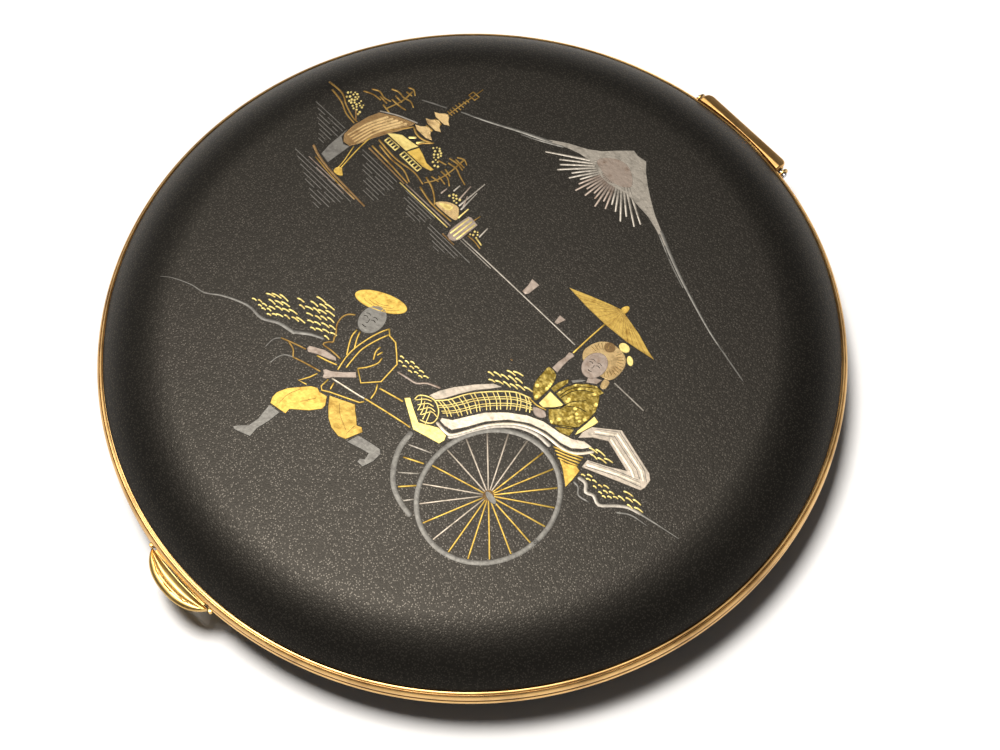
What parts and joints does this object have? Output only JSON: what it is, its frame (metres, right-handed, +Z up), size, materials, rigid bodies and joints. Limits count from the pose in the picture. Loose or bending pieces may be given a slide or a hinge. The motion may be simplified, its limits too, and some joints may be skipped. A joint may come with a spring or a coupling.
{
  "type": "powder compact",
  "caption": "Slim round powder compact with an inlaid black lid, gilt rims, a hinged lid with a mirror, a thumb catch, and a sifter and puff inside.",
  "frame": {"origin": "centre of the flat underside, on which the closed compact rests", "axes": "+Z up through the closed lid, +Y from the thumb catch to the hinge, +X to the right"},
  "size_m": [0.08, 0.0832, 0.013],
  "materials": {
    "gilt": "polished gilt brass with light wear",
    "plain_brass": "plain brass",
    "black_lacquer": "matt black over fine-grained metal, with gold and silver inlay on the lid",
    "steel": "spring steel",
    "mirror_glass": "silvered glass",
    "card": "pressed card",
    "gauze": "fine woven gauze",
    "velour": "short cotton velour pile",
    "satin": "satin"
  },
  "bodies": {
    "base": {"base_panel": "black_lacquer", "base_frame": "gilt", "powder_well": "gilt", "base_hinge_leaf": "gilt", "hinge_pin": "steel", "latch_bracket": "plain_brass", "latch_pin": "steel", "latch_spring": "steel", "spring_rivet": "plain_brass", "sifter_ring": "gilt", "sifter_net": "gauze", "puff_pad": "velour", "puff_cover": "satin", "puff_ribbon": "satin"},
    "lid": {"lid_panel": "black_lacquer", "lid_frame": "gilt", "mirror_backing": "card", "mirror": "mirror_glass", "mirror_ring": "gilt", "lid_hinge_leaf": "gilt", "lid_keeper": "plain_brass"},
    "lever": {"thumb_lever": "gilt"}
  },
  "joints": [
    {"name": "lid_hinge", "type": "hinge", "parent": "base", "child": "lid", "pos_m": [0, 0.04, 0.00615], "axis": [-1, 0, 0], "range_deg": [0, 110]},
    {"name": "catch_press", "type": "hinge", "parent": "base", "child": "lever", "pos_m": [0, -0.0364, 0.00445], "axis": [1, 0, 0], "range_deg": [0, 6], "stiffness_Nm_per_rad": 0.04, "deforming": ["latch_spring"]}
  ]
}
